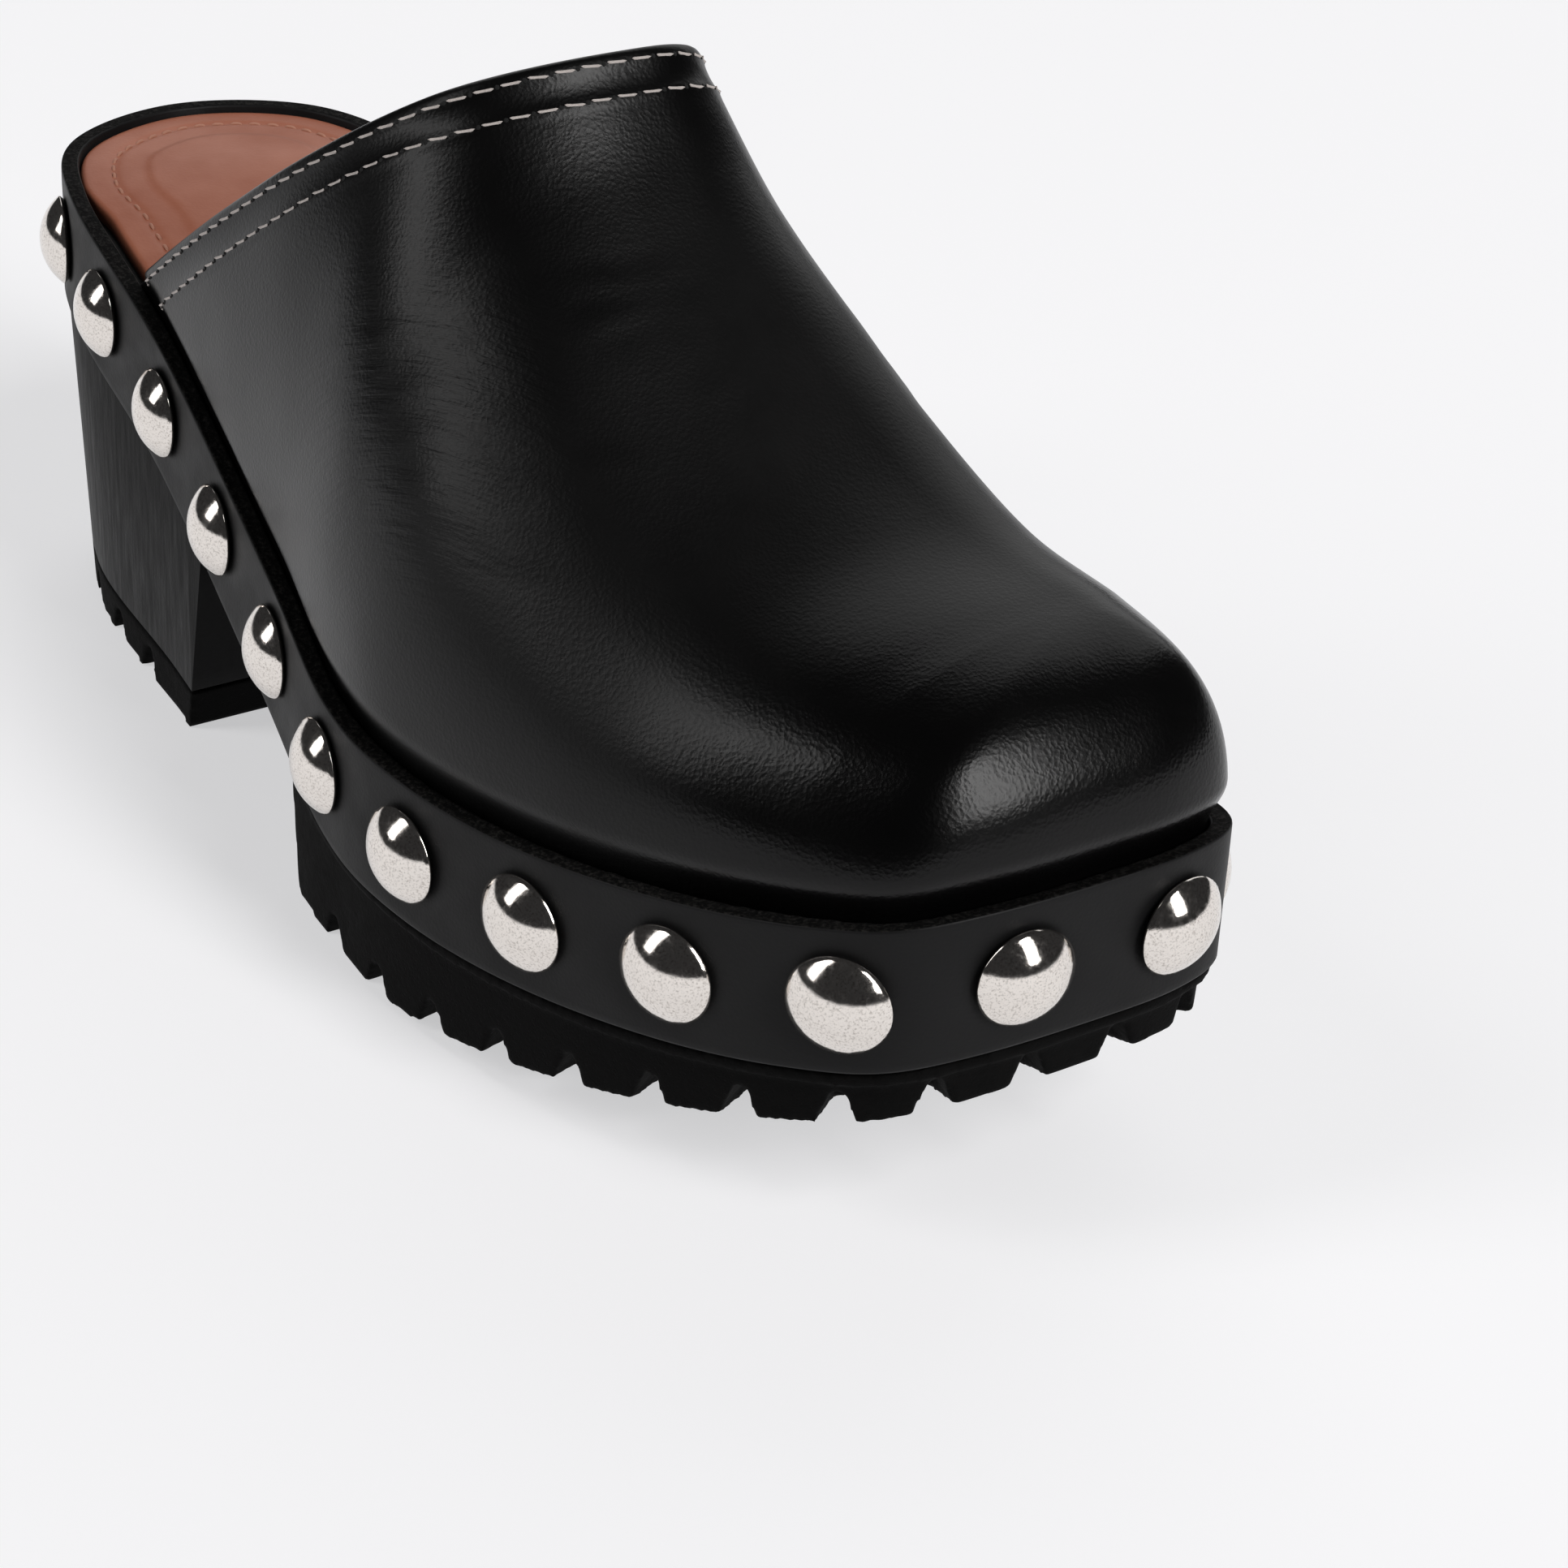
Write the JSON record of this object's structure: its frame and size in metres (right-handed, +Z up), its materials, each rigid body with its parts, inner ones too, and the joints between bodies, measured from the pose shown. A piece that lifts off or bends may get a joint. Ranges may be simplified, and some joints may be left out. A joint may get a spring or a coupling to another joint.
{
  "type": "studded clog",
  "caption": "Backless platform clog with a hollow leather upper, a studded band round a wrapped platform, a lugged rubber forepart and a block heel.",
  "frame": {"origin": "middle of the shoe's footprint, on the floor plane under the heel lift and the tread", "axes": "+X to the toe, -Y to the little-toe side of this right shoe, +Z up"},
  "size_m": [0.266, 0.1046, 0.133],
  "materials": {
    "upper_leather": "smooth black leather, soft sheen",
    "insole_leather": "tan leather, matte",
    "core": "black wrapped foam platform",
    "band_leather": "matte dark grey leather, raw top edge",
    "tread_rubber": "matte black rubber",
    "heel_block": "black covered block, fine grain",
    "stud_metal": "polished nickel with a light brushed wear"
  },
  "bodies": {
    "root": {"upper": "upper_leather", "insole": "insole_leather", "platform_core": "core", "band": "band_leather", "outsole": "tread_rubber", "heel": "heel_block", "heel_lift": "tread_rubber", "stud_01": "stud_metal", "stud_02": "stud_metal", "stud_03": "stud_metal", "stud_04": "stud_metal", "stud_05": "stud_metal", "stud_06": "stud_metal", "stud_07": "stud_metal", "stud_08": "stud_metal", "stud_09": "stud_metal", "stud_10": "stud_metal", "stud_11": "stud_metal", "stud_12": "stud_metal", "stud_13": "stud_metal", "stud_14": "stud_metal", "stud_15": "stud_metal", "stud_16": "stud_metal", "stud_17": "stud_metal", "stud_18": "stud_metal", "stud_19": "stud_metal", "stud_20": "stud_metal", "stud_21": "stud_metal", "stud_22": "stud_metal", "stud_23": "stud_metal", "stud_24": "stud_metal"}
  },
  "joints": []
}
